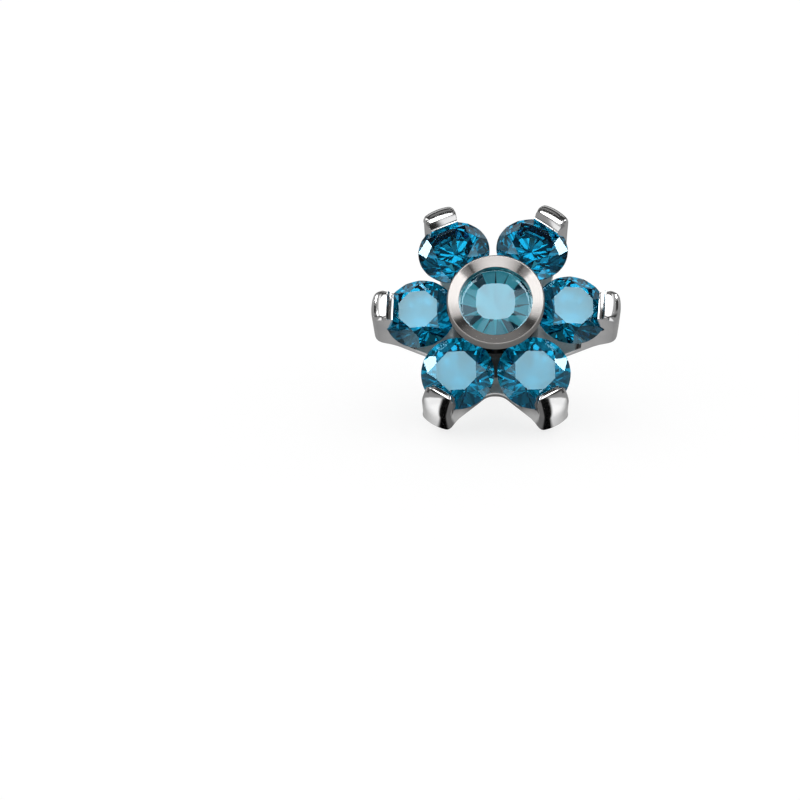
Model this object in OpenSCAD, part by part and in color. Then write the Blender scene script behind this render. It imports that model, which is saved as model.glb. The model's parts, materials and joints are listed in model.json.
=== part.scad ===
// Flower-shaped jewel top with six claw-set petal stones, a centre stone in a turned cup, and a pin below.
// Millimetres. The flower is drawn with its face up and the petal girdles at height 0,
// and is then laid down as it rests by itself: on its two lower claws and the tip of its pin.

/* [Petal stones] */
// Diameter of a petal stone
stone_d = 2; // [1.6:0.05:2.4]
// Diameter of its table, across the corners
table_d = 1.16; // [0.9:0.02:1.3]
// Height of the crown, from girdle to table
crown_h = 0.32; // [0.2:0.01:0.42]
// Height of the girdle band
girdle_h = 0.06; // [0.03:0.01:0.1]
// Depth of the pavilion, from girdle to point
pavilion_h = 0.86; // [0.7:0.01:0.95]
// Gap between the girdles of two neighbouring petals
petal_gap = 0.08; // [0.04:0.01:0.3]
// Outward lean of each petal stone, in degrees
petal_lean = 9; // [0:0.5:12]

/* [Claw basket] */
// Width of a claw
claw_w = 0.9; // [0.6:0.02:1.1]
// Thickness of a claw's upright wall beside the girdle
claw_t = 0.33; // [0.2:0.01:0.4]
// Height of the claw's tab above the girdles
tab_rise = 0.6; // [0.5:0.01:0.7]
// How far the tab reaches over the stone
tab_over = 0.265; // [0.12:0.005:0.35]
// Rounding from the claw's wall over to the tab's top
tab_round = 0.34; // [0.15:0.01:0.38]
// Lean of the tab's end face, from upright, in degrees
tab_end_lean = 42; // [20:1:48]
// Height of that end face
tab_end_h = 0.2; // [0.1:0.01:0.24]
// Height of the thin upright lip below it
tab_lip = 0.04; // [0.02:0.01:0.08]
// How far the tab's underside leans back from its lip down to the girdle
tab_undercut = 0.16; // [0.05:0.01:0.2]
// Depth below the girdles at which the claw starts to bend inward
wall_drop = 0.85; // [0.6:0.05:1.1]
// Outside radius of that bend
bend_r = 0.4; // [0.25:0.05:0.5]
// Slope of the dish from the claws down to the hub, in degrees
dish_slope = 28; // [20:1:34]
// Thickness of the dish
dish_t = 0.28; // [0.2:0.01:0.4]
// Radius of the flat hub under the dish
hub_r = 1.4; // [1.3:0.05:1.5]
// Distance from the axis to the bottom of a valley between two arms
valley_r = 1.74; // [1.6:0.02:1.9]
// Rounding of the valley
valley_round = 0.45; // [0.25:0.05:0.6]
// Distance from the axis at which the arms' sides become parallel
arm_straight_r = 2.75; // [2.5:0.05:3]
// How far the seat under a stone reaches in from the girdle's edge
seat_reach = 0.62; // [0.4:0.02:0.8]

/* [Centre cup] */
// Outer diameter of the cup's rim
rim_d = 2.62; // [2.5:0.02:2.8]
// Height of the rim above the petal girdles
rim_rise = 0.94; // [0.8:0.02:1.2]
// Height of the rim's upright outer wall
rim_wall = 0.36; // [0.2:0.02:0.4]
// Diameter at the foot of the bevel that slopes in from the rim
bevel_d = 2.01; // [1.96:0.01:2.1]
// Drop of that bevel
bevel_drop = 0.11; // [0.05:0.01:0.2]
// How far the lip reaches over the centre stone's girdle
lip_over = 0.05; // [0.02:0.01:0.08]
// Thickness of the lip at its edge
lip_t = 0.03; // [0.02:0.01:0.06]
// Diameter of the shoulder that carries the petals' inner sides
shoulder_d = 2.4; // [2.3:0.02:2.5]
// Gap between the stem and the petals' girdles
stem_gap = 0.05; // [0.03:0.01:0.08]

/* [Centre stone] */
// Diameter of the centre stone
centre_d = 2; // [1.98:0.01:2.1]
// Diameter of its table, across the corners
centre_table_d = 1.08; // [0.9:0.02:1.3]
// Height of its crown
centre_crown_h = 0.14; // [0.1:0.01:0.2]
// Depth of its pavilion
centre_pavilion_h = 0.84; // [0.7:0.01:0.95]
// Height of its girdle above the petal girdles
centre_rise = 0.62; // [0.58:0.01:0.66]

/* [Pin] */
// Diameter of the pin
post_d = 1.2; // [0.9:0.1:1.6]
// Length of the pin below the hub
post_len = 2.2; // [1.8:0.1:3]
// Chamfer at the pin's tip
post_chamfer = 0.12; // [0.05:0.01:0.2]

/* [Cut and fit] */
// Clearance between a stone and the metal that holds it
stone_fit = 0.02; // [0.01:0.005:0.04]
// Place of the crown's star corners, as a share of the way from table to girdle
star_share = 0.52; // [0.45:0.01:0.6]
// Distance of the pavilion's inner corners from the axis, as a share of the radius
lower_share = 0.22; // [0.15:0.01:0.3]
// Turn of the facets from the flower's right, the same for all petal stones, in degrees
facet_turn = 24; // [0:1:45]

/* [Hidden] */
petals = 6;
petal_step = 360 / petals;
valley_turn = petal_step / 2;
facets = 8;
half_facet = 180 / facets;
arc_steps = 10;
far = 6;

stone_r = stone_d / 2;
ring_r = (stone_d + petal_gap) / (2 * sin(valley_turn));

// A place beside a petal stone, from the distance out along its girdle plane and the height above it.
function beside(out, up) = [
    ring_r + out * cos(petal_lean) + up * sin(petal_lean),
    up * cos(petal_lean) - out * sin(petal_lean)
];
// Corner of a stone between its star and upper half facets, as radius and height.
function star_corner(r, table_r, crown) =
    let (ring = table_r + star_share * (r - table_r))
    [ring, girdle_h / 2 + crown * (r - ring * cos(half_facet)) / (r - table_r)];
// Corner between its lower half and main facets, as radius and height.
function lower_corner(r, pavilion) =
    let (ring = lower_share * r)
    [ring, -girdle_h / 2 - pavilion * (r - ring * cos(half_facet)) / r];
// Height at radius r of the straight line through the places p and q.
function line_at(p, q, r) = p[1] + (q[1] - p[1]) * (r - p[0]) / (q[0] - p[0]);
// Points along an arc, from one angle to another.
function arc(centre, r, from, to) = [
    for (i = [0 : arc_steps])
        let (a = from + (to - from) * i / arc_steps)
        centre + r * [cos(a), sin(a)]
];

room_r = stone_r + stone_fit;
room_lower = lower_corner(stone_r, pavilion_h) + [stone_fit, -stone_fit];
girdle_edge_r = beside(stone_r, 0)[0];
claw_r = girdle_edge_r + stone_fit + claw_t;
tab_in_r = girdle_edge_r - tab_over;
seat_in_r = girdle_edge_r - seat_reach;
tab_top = tab_rise;
tab_edge_r = tab_in_r + tab_end_h * tan(tab_end_lean);
tab_touch_r = tab_in_r + tab_undercut;
tab_lip_top = tab_top - tab_end_h;

bend_centre = [claw_r - bend_r, -wall_drop];
bend_end = bend_centre + bend_r * [sin(dish_slope), -cos(dish_slope)];
hub_low = bend_end[1] - (bend_end[0] - hub_r) * tan(dish_slope);
hub_top = hub_low + dish_t;
hub_top_r = hub_r - dish_t * tan(dish_slope / 2);
dish_top_at_seat = hub_top + (seat_in_r - hub_top_r) * tan(dish_slope);

stem_r = ring_r - stone_r * cos(petal_lean) - stem_gap;
shoulder_r = shoulder_d / 2;
rim_r = rim_d / 2;
bevel_r = bevel_d / 2;
bevel_low = rim_rise - bevel_drop;
rim_low = rim_rise - rim_wall;
// The rim's underside rises from the stem as steeply as it reaches out.
rim_root = rim_low - (rim_r - stem_r);
centre_r = centre_d / 2;
pocket_r = centre_r + stone_fit;
mouth_r = centre_r - lip_over;
lip_under = centre_rise + girdle_h / 2 + stone_fit
    + centre_crown_h * lip_over / (centre_r - centre_table_d / 2);
lip_top = lip_under + lip_t;
pocket_low = centre_rise - girdle_h / 2 - stone_fit;
pocket_point = pocket_low - centre_pavilion_h * pocket_r / centre_r;

post_r = post_d / 2;
post_tip = hub_low - post_len;

// The lowest places at rest are the edges of the two lower claws, at their bend, and the pin's tip.
// A claw's edge lies this far below the flower's axis at the bend's centre and at its outside.
function edge_below(r) = cos(valley_turn) * sqrt(r * r - claw_w * claw_w / 4)
    + sin(valley_turn) * claw_w / 2;
edge_at_centre = edge_below(bend_centre[0]);
edge_share = (edge_below(claw_r) - edge_at_centre) / bend_r;
tip_edge = post_tip + post_chamfer;
// Tangent of the face's angle above the floor, found by repeating the balance of both contacts.
function lean_tangent(turns) = turns == 0
    ? 0.75
    : let (t = lean_tangent(turns - 1))
        (edge_at_centre - post_r + bend_r * sqrt(edge_share * edge_share + t * t))
        / (bend_centre[1] - tip_edge);
face_angle = atan(lean_tangent(8));
floor_drop = post_r * cos(face_angle) - tip_edge * sin(face_angle);
// The foremost places are the same edges on the tabs' rounding.
edge_at_round = edge_below(claw_r - tab_round);
round_share = (edge_below(claw_r) - edge_at_round) / tab_round;
front = -edge_at_round * sin(face_angle) - (tab_top - tab_round) * cos(face_angle)
    - tab_round * norm([round_share * sin(face_angle), cos(face_angle)]);
back = post_r * sin(face_angle) - tip_edge * cos(face_angle);

// Lays the flower down: its face looks to the front and up, its lower claws and pin touch the floor.
module at_rest() {
    translate([0, -(front + back) / 2, floor_drop])
        rotate([90 - face_angle, 0, 0])
            children();
}

// Carries a stone or a cut out to petal number i, leaning outward.
module at_petal(i) {
    rotate([0, 0, petal_step * (i - 1)])
        translate([ring_r, 0, 0])
            rotate([0, petal_lean, 0])
                children();
}

// A round brilliant: table, 8 stars, 8 kites, 16 upper halves, girdle, 16 lower halves, 8 mains.
module brilliant(d, table, crown, pavilion) {
    r = d / 2;
    table_r = table / 2;
    star = star_corner(r, table_r, crown);
    lower = lower_corner(r, pavilion);
    function corners(n, ring, z, turn) = [
        for (i = [0 : n - 1]) [
            ring * cos(360 * i / n + turn),
            ring * sin(360 * i / n + turn),
            z
        ]
    ];
    points = concat(
        corners(facets, table_r, girdle_h / 2 + crown, 0),
        corners(facets, star[0], star[1], half_facet),
        corners(2 * facets, r, girdle_h / 2, 0),
        corners(2 * facets, r, -girdle_h / 2, 0),
        corners(facets, lower[0], lower[1], half_facet),
        [[0, 0, -girdle_h / 2 - pavilion]]
    );
    function table_at(i) = i % facets;
    function star_at(i) = facets + i % facets;
    function top_at(i) = 2 * facets + i % (2 * facets);
    function bottom_at(i) = 4 * facets + i % (2 * facets);
    function lower_at(i) = 6 * facets + i % facets;
    point_at = 7 * facets;
    sides = [0 : facets - 1];
    faces = concat(
        [[for (i = [facets - 1 : -1 : 0]) table_at(i)]],
        [for (i = sides) [table_at(i), table_at(i + 1), star_at(i)]],
        [for (i = sides) [table_at(i), star_at(i), top_at(2 * i), star_at(i + facets - 1)]],
        [for (i = sides) [star_at(i), top_at(2 * i + 1), top_at(2 * i)]],
        [for (i = sides) [star_at(i), top_at(2 * i + 2), top_at(2 * i + 1)]],
        [for (i = [0 : 2 * facets - 1]) [top_at(i), top_at(i + 1), bottom_at(i + 1), bottom_at(i)]],
        [for (i = sides) [lower_at(i), bottom_at(2 * i), bottom_at(2 * i + 1)]],
        [for (i = sides) [lower_at(i), bottom_at(2 * i + 1), bottom_at(2 * i + 2)]],
        [for (i = sides) [point_at, lower_at(i + facets - 1), bottom_at(2 * i), lower_at(i)]]
    );
    polyhedron(points, faces);
}

module petal_stone(i) {
    color([0.05, 0.45, 0.6])
        at_rest()
            at_petal(i)
                rotate([0, 0, facet_turn - petal_step * (i - 1)])
                    brilliant(stone_d, table_d, crown_h, pavilion_h);
}

module centre_stone() {
    color([0.3, 0.6, 0.7])
        at_rest()
            translate([0, 0, centre_rise])
                brilliant(centre_d, centre_table_d, centre_crown_h, centre_pavilion_h);
}

// The room that a petal stone needs, with its clearance, as a body turned about the stone's axis.
module stone_room() {
    edge = girdle_h / 2 + stone_fit;
    star = star_corner(stone_r, table_d / 2, crown_h);
    rotate_extrude($fn = 96)
        polygon([
            [0, -edge - pavilion_h],
            room_lower,
            [room_r, -edge],
            [room_r, edge],
            star + [stone_fit, stone_fit],
            [table_d / 2, edge + crown_h],
            [0, edge + crown_h]
        ]);
}

// Half section of the basket: hub, dish, bend, upright wall, tab and the seat under the stone.
module basket_section() {
    polygon(concat(
        [[0, hub_low], [hub_r, hub_low]],
        arc(bend_centre, bend_r, dish_slope - 90, 0),
        arc([claw_r - tab_round, tab_top - tab_round], tab_round, 0, 90),
        [
            [tab_edge_r, tab_top],
            [tab_in_r, tab_lip_top],
            [tab_in_r, tab_lip_top - tab_lip],
            [tab_touch_r, -(tab_touch_r - ring_r) * tan(petal_lean)],
            [seat_in_r, -(seat_in_r - ring_r) * tan(petal_lean)],
            [seat_in_r, dish_top_at_seat],
            [hub_top_r, hub_top],
            [0, hub_top]
        ]
    ));
}

// Plan of the star: six arms with parallel sides at the claws, joined by round valleys.
module star_plan() {
    valley_centre_r = valley_r + valley_round;
    // In an arm's own frame, the side leaves the claw at this corner and meets the valley at a tangent.
    corner = [arm_straight_r, claw_w / 2];
    to_valley = valley_centre_r * [cos(valley_turn), sin(valley_turn)] - corner;
    tangent = atan2(to_valley[1], to_valley[0]) + asin(valley_round / norm(to_valley));
    meets = tangent + 90 - valley_turn;
    function turned(p, a) = [p[0] * cos(a) - p[1] * sin(a), p[0] * sin(a) + p[1] * cos(a)];
    polygon([
        for (i = [0 : petals - 1])
            let (
                outer = [
                    [arm_straight_r, -claw_w / 2],
                    [far, -claw_w / 2],
                    [far, claw_w / 2],
                    corner
                ],
                valley = arc([valley_centre_r, 0], valley_round, meets, 360 - meets)
            )
            each concat(
                [for (p = outer) turned(p, petal_step * i)],
                [for (p = valley) turned(p, petal_step * i + valley_turn)]
            )
    ]);
}

module claw_basket() {
    color([0.75, 0.75, 0.77])
        at_rest()
            difference() {
                intersection() {
                    rotate_extrude($fn = 96) basket_section();
                    translate([0, 0, -far]) linear_extrude(2 * far) star_plan();
                }
                for (i = [1 : petals])
                    at_petal(i) stone_room();
            }
}

// Turned cup: stem on the hub, shoulder under the petals, rim over them, pocket for the centre stone.
module centre_cup() {
    room_edge = beside(-room_r, -girdle_h / 2 - stone_fit);
    room_inner = beside(-room_lower[0], room_lower[1]);
    color([0.8, 0.78, 0.76])
        at_rest()
            rotate_extrude($fn = 96)
                polygon([
                    [0, hub_top],
                    [shoulder_r, hub_top],
                    [shoulder_r, line_at(room_edge, room_inner, shoulder_r)],
                    [stem_r, line_at(room_edge, room_inner, stem_r)],
                    [stem_r, rim_root],
                    [rim_r, rim_low],
                    [rim_r, rim_rise],
                    [bevel_r, bevel_low],
                    [mouth_r, lip_top],
                    [mouth_r, lip_under],
                    [pocket_r, lip_under],
                    [pocket_r, pocket_low],
                    [0, pocket_point]
                ]);
}

module post() {
    color([0.7, 0.7, 0.72])
        at_rest()
            rotate_extrude($fn = 96)
                polygon([
                    [0, post_tip],
                    [post_r - post_chamfer, post_tip],
                    [post_r, tip_edge],
                    [post_r, hub_low],
                    [0, hub_low]
                ]);
}

claw_basket();
centre_cup();
post();
centre_stone();
petal_stone(1);  // petal_stone_1
petal_stone(2);  // petal_stone_2
petal_stone(3);  // petal_stone_3
petal_stone(4);  // petal_stone_4
petal_stone(5);  // petal_stone_5
petal_stone(6);  // petal_stone_6
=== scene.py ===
# %% [markdown]
# A flower-shaped dermal top: six petal stones in bent steel claws, a seventh stone in a turned cup, and a
# pin behind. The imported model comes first. It lies as the real one lies on a table, so nothing here moves
# or resizes it: every piece below is drawn in the flower's own frame and then laid where the model
# already is.

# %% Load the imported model
import json
from math import acos, asin, atan2, cos, degrees, hypot, pi, radians, sin, sqrt, tan

import bmesh
import bpy
from mathutils import Matrix, Vector


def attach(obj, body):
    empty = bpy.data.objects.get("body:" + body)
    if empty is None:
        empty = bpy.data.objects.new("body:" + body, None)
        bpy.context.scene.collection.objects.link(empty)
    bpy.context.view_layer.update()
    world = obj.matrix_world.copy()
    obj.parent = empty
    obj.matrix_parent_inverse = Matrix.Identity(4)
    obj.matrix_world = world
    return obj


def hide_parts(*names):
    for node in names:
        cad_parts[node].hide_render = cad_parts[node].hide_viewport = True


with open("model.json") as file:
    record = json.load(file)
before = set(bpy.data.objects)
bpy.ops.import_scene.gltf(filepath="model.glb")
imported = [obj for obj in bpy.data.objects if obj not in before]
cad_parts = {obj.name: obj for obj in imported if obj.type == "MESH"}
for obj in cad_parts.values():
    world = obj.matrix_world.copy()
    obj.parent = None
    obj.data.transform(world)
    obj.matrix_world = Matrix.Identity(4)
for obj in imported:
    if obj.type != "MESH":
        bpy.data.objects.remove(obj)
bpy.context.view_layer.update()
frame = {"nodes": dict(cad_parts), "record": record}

print("CAD nodes:", ", ".join(sorted(frame["nodes"])))

# %% [markdown]
# A few driving sizes fix the rest, as on the real piece: the stones and the gap between them set the
# ring, the ring sets where the claws stand, and the claws' bend and the dish's slope set how deep the hub
# lies. Lengths are in millimetres. Heights count from the plane through the middles of the petal stones.

# %% Sizes that more than one piece needs
MM = 0.001
petals = 6
stone_r = 1.0
petal_gap = 0.08
petal_lean = radians(9)
stone_fit = 0.02
claw_t = 0.33
wall_drop = 0.85
bend_r = 0.4
dish_slope = radians(28)
dish_t = 0.28
hub_r = 1.4
pin_length = 2.2
pin_chamfer = 0.12

sector = pi / petals
ring_r = (2 * stone_r + petal_gap) / (2 * sin(sector))
girdle_edge_r = ring_r + stone_r * cos(petal_lean)
claw_r = girdle_edge_r + stone_fit + claw_t
bend_centre = (claw_r - bend_r, -wall_drop)
slope_end_r = bend_centre[0] + bend_r * sin(dish_slope)
hub_low = bend_centre[1] - bend_r * cos(dish_slope) - (slope_end_r - hub_r) * tan(dish_slope)
hub_top = hub_low + dish_t
print("ring radius", round(ring_r, 3), "claw radius", round(claw_r, 3), "hub from", round(hub_low, 3))

# %% [markdown]
# The flower's own frame makes the maths easy: X to the right, Y up the face and Z out of it. The record's
# pin mount gives the axis, so the frame follows the model: if the model is packed at another lean, all
# the pieces lean with it.

# %% The flower's frame
pin_mount = frame["record"]["mounts"][0]
face_axis = -Vector(pin_mount["axis"]).normalized()
side_axis = Vector((1, 0, 0))
up_axis = face_axis.cross(side_axis)
pin_middle = hub_low - (pin_length - pin_chamfer) / 2
flower_origin = Vector(pin_mount["pos_m"]) - face_axis * pin_middle * MM
flower_turn = Matrix((side_axis, up_axis, face_axis)).transposed()
flower_place = Matrix.Translation(flower_origin) @ flower_turn.to_4x4() @ Matrix.Scale(MM, 4)
print("face looks up at", round(degrees(asin(face_axis.z)), 2), "degrees")

# %% Helpers for finished meshes
def new_object(name, mesh):
    thing = bpy.data.objects.new(name, mesh)
    bpy.context.scene.collection.objects.link(thing)
    return thing


def mesh_from(name, points, faces):
    mesh = bpy.data.meshes.new(name)
    mesh.from_pydata([tuple(point) for point in points], [], faces)
    mesh.update()
    return mesh


def volume_of(mesh):
    solid = bmesh.new()
    solid.from_mesh(mesh)
    volume = solid.calc_volume(signed=True)
    solid.free()
    return volume


# %% [markdown]
# Shapes and finishes are both built as trees of nodes, which stay open to changes: an artist can retype
# any named input. Written out one call at a time such trees are long, so this kit adds a node, sets it
# and feeds it in one call.

# %% A small kit for building node trees
def plug(tree, socket, value):
    """Feeds one input with a plain value, from a socket, or from the first output of a node."""
    if isinstance(value, bpy.types.Node):
        value = value.outputs[0]
    if isinstance(value, bpy.types.NodeSocket):
        tree.links.new(value, socket)
    else:
        socket.default_value = value


def feed(tree, node, **values):
    """Feeds a node's inputs, with _ for each space in their names."""
    for name, value in values.items():
        plug(tree, node.inputs[name.replace("_", " ")], value)


def add_node(tree, kind, **values):
    """Adds a node. Names in small letters set the node itself, names with a capital feed its inputs."""
    node = tree.nodes.new(kind)
    for name, value in values.items():
        if name.islower():
            setattr(node, name, value)
    feed(tree, node, **{name: value for name, value in values.items() if not name.islower()})
    return node


def maths(tree, operation, *values):
    node = add_node(tree, "ShaderNodeMath", operation=operation)
    for socket, value in zip(node.inputs, values):
        plug(tree, socket, value)
    return node


def times(tree, first, second):
    return maths(tree, "MULTIPLY", first, second)


def plus(tree, first, second):
    return maths(tree, "ADD", first, second)


def minus(tree, first, second):
    return maths(tree, "SUBTRACT", first, second)


def new_tree(kind, name, inputs, outputs):
    """A tree with named inputs and outputs. Returns it, what its user gives, and the node for results."""
    tree = bpy.data.node_groups.new(name, kind)
    for way, sockets in (("INPUT", inputs), ("OUTPUT", outputs)):
        for label, socket_kind, *start in sockets:
            socket = tree.interface.new_socket(label, in_out=way, socket_type="NodeSocket" + socket_kind)
            if start:
                socket.default_value = start[0]
    given = tree.nodes.new("NodeGroupInput").outputs
    result = tree.nodes.new("NodeGroupOutput")
    return tree, given, result


# %% [markdown]
# Two rules repeat on this flower: a cut stone is the hull of a few rings of corners, and six of
# everything stand in a ring. Geometry Nodes hold both rules as trees with named inputs, so one stone's
# sizes can be typed in, and the same ring tree sets stones and claws. Drawing six stones by hand would
# work too, but a change would mean six edits.

# %% Steps that turn a mesh into another
def grow(name, start_mesh, steps):
    """Runs geometry trees and other modifiers on a mesh and returns the plain mesh that comes out."""
    maker = new_object(name + "_maker", start_mesh)
    for step in steps:
        step(maker)
    bpy.context.view_layer.update()
    graph = bpy.context.evaluated_depsgraph_get()
    grown = maker.evaluated_get(graph)
    result = bpy.data.meshes.new_from_object(grown, preserve_all_data_layers=True, depsgraph=graph)
    result.name = name
    # a mesh without a material brings an empty slot along, which would come before the real one
    if len(result.materials) > 1 and result.materials[0] is None:
        result.materials.pop(index=0)
    for face in result.polygons:
        face.material_index = 0
    bpy.data.objects.remove(maker)
    return result


def tree_step(tree, **values):
    """Runs a geometry tree with these inputs, each set by its socket's identifier."""
    def add(maker):
        modifier = maker.modifiers.new(tree.name, "NODES")
        modifier.node_group = tree
        for socket in tree.interface.items_tree:
            name = socket.name.replace(" ", "_")
            if socket.in_out == "INPUT" and name in values:
                modifier[socket.identifier] = values[name]
    return add


def join_flat_faces(maker):
    """A hull comes in triangles. This joins the ones that share a plane, so each facet is one face."""
    joining = maker.modifiers.new("Join flat faces", "DECIMATE")
    joining.decimate_type = "DISSOLVE"
    joining.angle_limit = radians(0.3)


# %% A cut stone as a tree
RINGS = (
    # name of the ring, corners, whether its first corner is half a step on
    ("Table", 8, False),
    ("Star", 8, True),
    ("Girdle Top", 16, False),
    ("Girdle Top Quarter", 32, True),
    ("Girdle Top Middle", 16, True),
    ("Girdle Bottom Middle", 16, True),
    ("Girdle Bottom Quarter", 32, True),
    ("Girdle Bottom", 16, False),
    ("Lower", 8, True),
)
STARLESS_RINGS = (("Table", 16, True), *RINGS[2:-1], ("Lower", 16, True))
FLAT_ON_TOP = 0.999


def ring_of_points(tree, count, radius):
    return add_node(tree, "GeometryNodeMeshCircle", fill_type="NONE", Vertices=count, Radius=radius)


def stored(tree, domain, name, geometry, value):
    """Stores a number on each face or copy, where the materials can read it."""
    return add_node(
        tree, "GeometryNodeStoreNamedAttribute", data_type="FLOAT", domain=domain, Name=name,
        Geometry=geometry, Value=value,
    )


def make_stone_tree(name, rings):
    """The hull of all the rings' corners and the point below them. Its table is marked, for the haze."""
    sizes = [("Point Height", "Float")]
    for ring, corners, turned in rings:
        sizes += [(ring + " Radius", "Float"), (ring + " Height", "Float")]
    tree, given, result = new_tree("GeometryNodeTree", name, sizes, [("Geometry", "Geometry")])
    all_corners = add_node(tree, "GeometryNodeJoinGeometry")

    for ring, corners, turned in rings:
        circle = ring_of_points(tree, corners, given[ring + " Radius"])
        height = add_node(tree, "ShaderNodeCombineXYZ", Z=given[ring + " Height"])
        turn = (0, 0, pi / corners if turned else 0)
        lifted = add_node(tree, "GeometryNodeTransform", Geometry=circle, Translation=height, Rotation=turn)
        feed(tree, all_corners, Geometry=lifted)
    height = add_node(tree, "ShaderNodeCombineXYZ", Z=given["Point Height"])
    point = add_node(tree, "GeometryNodeMeshLine", Count=1, Start_Location=height)
    feed(tree, all_corners, Geometry=point)

    hull = add_node(tree, "GeometryNodeConvexHull", Geometry=all_corners)
    flat = add_node(tree, "GeometryNodeSetShadeSmooth", Geometry=hull, Shade_Smooth=False)
    normal = add_node(tree, "GeometryNodeInputNormal")
    upward = add_node(tree, "ShaderNodeSeparateXYZ", Vector=normal).outputs["Z"]
    on_top = maths(tree, "GREATER_THAN", upward, FLAT_ON_TOP)
    feed(tree, result, Geometry=stored(tree, "FACE", "table_face", flat, on_top))
    return tree


brilliant_tree = make_stone_tree("Round brilliant", RINGS)
starless_tree = make_stone_tree("Round stone without stars", STARLESS_RINGS)

# %% Copies in a ring as a tree
def make_ring_tree():
    """Copies about the Z axis, each with its number. They lean outwards, and each has a turn of its own."""
    tree, given, result = new_tree(
        "GeometryNodeTree", "Copies in a ring",
        [("Geometry", "Geometry"), ("Count", "Int"), ("Ring Radius", "Float"), ("Outward Lean", "Float"),
         ("Facet Turn", "Float"), ("Keep Facing", "Float"), ("Merge Distance", "Float")],
        [("Geometry", "Geometry")],
    )
    ring = ring_of_points(tree, given["Count"], given["Ring Radius"])
    number = add_node(tree, "GeometryNodeInputIndex")
    around = times(tree, maths(tree, "DIVIDE", number, given["Count"]), 2 * pi)
    facing = add_node(tree, "ShaderNodeCombineXYZ", Y=given["Outward Lean"], Z=around)
    copies = add_node(
        tree, "GeometryNodeInstanceOnPoints", Points=ring, Instance=given["Geometry"], Rotation=facing,
    )
    numbered = stored(tree, "INSTANCE", "copy_number", copies, number)
    own_turn = minus(tree, given["Facet Turn"], times(tree, around, given["Keep Facing"]))
    turned = add_node(
        tree, "GeometryNodeRotateInstances", Instances=numbered, Local_Space=True,
        Rotation=add_node(tree, "ShaderNodeCombineXYZ", Z=own_turn),
    )
    real = add_node(tree, "GeometryNodeRealizeInstances", Geometry=turned)
    merged = add_node(tree, "GeometryNodeMergeByDistance", Geometry=real, Distance=given["Merge Distance"])
    feed(tree, result, Geometry=merged)
    return tree


ring_tree = make_ring_tree()

# %% Facet tones and the material as a tree
def make_finish_tree():
    """The last tree of the stones and the claw basket. Each facet gets a random tone, and the whole real
    mesh its material.
    """
    tree, given, result = new_tree(
        "GeometryNodeTree", "Facet tones and material",
        [("Geometry", "Geometry"), ("Tone Seed", "Int"), ("Material", "Material")],
        [("Geometry", "Geometry")],
    )
    tone = add_node(tree, "FunctionNodeRandomValue", data_type="FLOAT", Seed=given["Tone Seed"])
    toned = stored(tree, "FACE", "facet_tone", given["Geometry"], tone.outputs["Value"])
    real = add_node(tree, "GeometryNodeRealizeInstances", Geometry=toned)
    covered = add_node(tree, "GeometryNodeSetMaterial", Geometry=real, Material=given["Material"])
    feed(tree, result, Geometry=covered)
    return tree


finish_tree = make_finish_tree()
shape_trees = (brilliant_tree, starless_tree, ring_tree, finish_tree)
print("geometry trees:", ", ".join(tree.name for tree in shape_trees))

# %% [markdown]
# Shader effects that several finishes share are node groups too. One gives every finish the flower's own
# millimetres, one is the faint cloud and hairline wear of polished metal, and one the rings that a lathe
# leaves. Two more mark places: a zone between two radii and under a height, and the inside of the dish
# under the stones. The turned steel uses that zone for painted shade on its outer wall and under the
# petals. The polished steel uses both for its dull patch in the dish near the axis. A sixth, the haze on
# the stones' tables, comes with the stones. They only hand out numbers; the shader itself stays in each
# material, where it can be read and changed.

# %% A small kit for shader groups
def placed_group(tree, group, **values):
    """Places a group in a tree, feeds it, and returns its outputs."""
    return add_node(tree, "ShaderNodeGroup", node_tree=group, **values).outputs


def smooth_step(tree, value, low, high, at_low, at_high):
    """Goes smoothly from one result to another as the value goes from low to high."""
    return add_node(
        tree, "ShaderNodeMapRange", interpolation_type="SMOOTHSTEP", Value=value, From_Min=low,
        From_Max=high, To_Min=at_low, To_Max=at_high,
    )


def from_axis(tree, place):
    """How far a place lies from the flower's axis, and how high."""
    x, y, height = add_node(tree, "ShaderNodeSeparateXYZ", Vector=place).outputs
    return maths(tree, "SQRT", plus(tree, times(tree, x, x), times(tree, y, y))), height


# %% Shared effect: the flower's own millimetres
def make_flower_millimetres():
    tree, given, result = new_tree("ShaderNodeTree", "Flower millimetres", [], [("Place", "Vector")])
    world_place = add_node(tree, "ShaderNodeTexCoord").outputs["Object"]
    mapping = add_node(
        tree, "ShaderNodeMapping", vector_type="TEXTURE", Vector=world_place, Location=flower_origin,
        Rotation=flower_turn.to_euler(), Scale=(MM, MM, MM),
    )
    feed(tree, result, Place=mapping)
    return tree


flower_millimetres = make_flower_millimetres()

# %% Shared effect: wear of a polished surface
def make_polish_marks():
    tree, given, result = new_tree(
        "ShaderNodeTree", "Polish marks",
        [("Place", "Vector"), ("Clean Roughness", "Float", 0.05), ("Cloud", "Float", 0.05),
         ("Hairlines", "Float", 0.02)],
        [("Roughness", "Float"), ("Height", "Float"), ("Cloud Mask", "Float")],
    )
    cloud = add_node(tree, "ShaderNodeTexNoise", Vector=given["Place"], Scale=1.7, Detail=4)
    stretched = add_node(tree, "ShaderNodeMapping", Vector=given["Place"], Scale=(1.0, 1.0, 0.12))
    hairs = add_node(tree, "ShaderNodeTexNoise", Vector=stretched, Scale=26, Detail=3)
    mask = smooth_step(tree, cloud, 0.35, 0.7, 0, 1)
    worn = plus(tree, times(tree, mask, given["Cloud"]), times(tree, hairs, given["Hairlines"]))
    roughness = plus(tree, given["Clean Roughness"], worn)
    feed(tree, result, Roughness=roughness, Height=hairs, Cloud_Mask=mask)
    return tree


polish_marks = make_polish_marks()

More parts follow.
